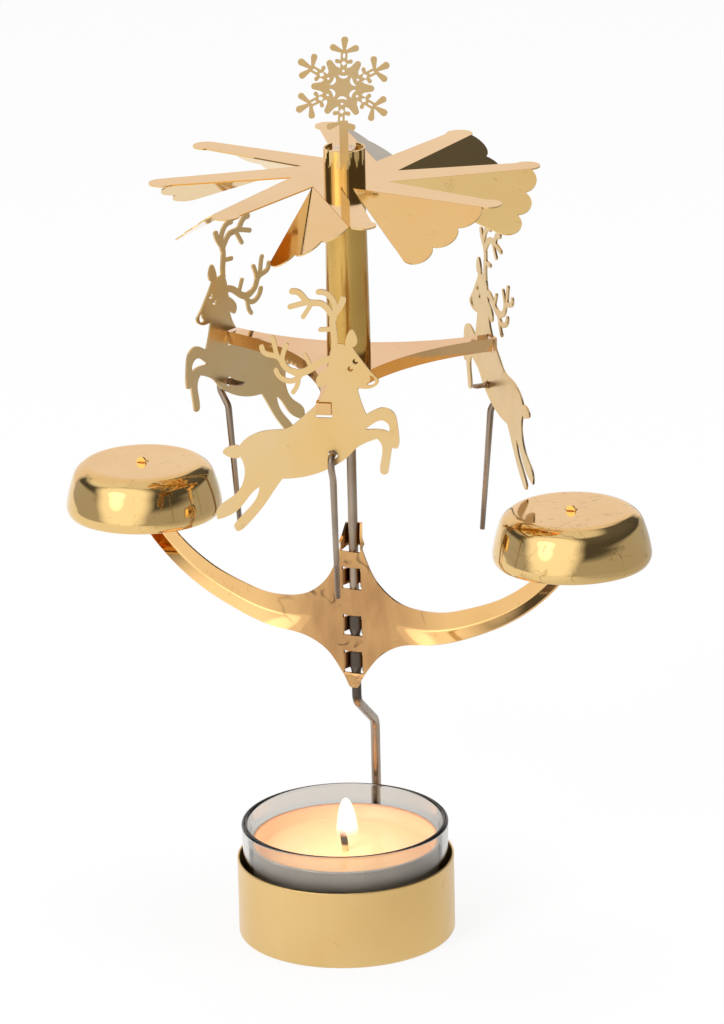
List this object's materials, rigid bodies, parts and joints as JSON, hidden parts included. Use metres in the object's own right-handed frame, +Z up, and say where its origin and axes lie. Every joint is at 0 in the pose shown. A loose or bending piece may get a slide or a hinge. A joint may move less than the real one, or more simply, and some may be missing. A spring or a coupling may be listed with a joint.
{
  "type": "candle carousel",
  "caption": "Candle-driven carousel with a folded-blade rotor, reindeer figures, hanging wire strikers and bells on a rod beside a tea light cup.",
  "frame": {"origin": "middle of the base cup's flat underside", "axes": "+Z up; +X along the bell arms to the right-hand bell; +Y towards the rear, where the rod stands"},
  "size_m": [0.1231, 0.0734, 0.1833],
  "materials": {
    "base_brass": "satin, lacquered",
    "bracket_brass": "polished",
    "bell_brass": "polished, finely scratched",
    "sheet_brass": "mirror polished sheet",
    "tube_brass": "polished tube",
    "figure_brass": "satin",
    "rod_steel": "drawn wire",
    "cup_aluminium": "brushed",
    "sustainer_tin": "bright",
    "clear_glass": "clear, polished",
    "candle_wax": "translucent wax",
    "wick_cotton": "charred cotton braid"
  },
  "bodies": {
    "stand": {"base_cup": "base_brass", "rod_socket": "base_brass", "stand_rod": "rod_steel", "bell_bracket": "bracket_brass"},
    "carousel": {"spider": "sheet_brass", "spindle_tube": "tube_brass", "rotor": "sheet_brass", "hub_collar": "tube_brass", "pivot_cap": "tube_brass", "reindeer_1": "figure_brass", "reindeer_2": "figure_brass", "reindeer_3": "figure_brass", "snowflake_topper": "figure_brass"},
    "striker_1_body": {"striker_1": "rod_steel"},
    "striker_2_body": {"striker_2": "rod_steel"},
    "striker_3_body": {"striker_3": "rod_steel"},
    "bell_left_body": {"bell_left": "bell_brass"},
    "bell_right_body": {"bell_right": "bell_brass"},
    "glass": {"glass_cup": "clear_glass"},
    "tealight": {"tealight_cup": "cup_aluminium", "wax": "candle_wax", "wick": "wick_cotton", "wick_sustainer": "sustainer_tin"}
  },
  "joints": [
    {"name": "carousel_turn", "type": "hinge", "parent": "stand", "child": "carousel", "pos_m": [-0.00058, 0.00891, 0.1176], "axis": [0, 0, 1], "continuous": true},
    {"name": "striker_1_swing", "type": "hinge", "parent": "carousel", "child": "striker_1_body", "pos_m": [0.02014, 0.03065, 0.10715], "axis": [0.6884, -0.7254, 0], "range_deg": [-15, 5]},
    {"name": "striker_2_swing", "type": "hinge", "parent": "carousel", "child": "striker_2_body", "pos_m": [-0.02977, 0.01599, 0.10715], "axis": [0.284, 0.9588, 0], "range_deg": [-15, 5]},
    {"name": "striker_3_swing", "type": "hinge", "parent": "carousel", "child": "striker_3_body", "pos_m": [0.00788, -0.01991, 0.10715], "axis": [-0.9724, -0.2334, 0], "range_deg": [-15, 5]},
    {"name": "bell_left_turn", "type": "hinge", "parent": "stand", "child": "bell_left_body", "pos_m": [-0.04648, 0.01016, 0.0903], "axis": [0, 0, 1], "continuous": true},
    {"name": "bell_right_turn", "type": "hinge", "parent": "stand", "child": "bell_right_body", "pos_m": [0.04532, 0.01016, 0.0903], "axis": [0, 0, 1], "continuous": true},
    {"name": "glass_lift", "type": "slide", "parent": "stand", "child": "glass", "axis": [0, 0, 1], "range_m": [0, 0.007]},
    {"name": "tealight_lift", "type": "slide", "parent": "glass", "child": "tealight", "axis": [0, 0, 1], "range_m": [0, 0.008]}
  ]
}
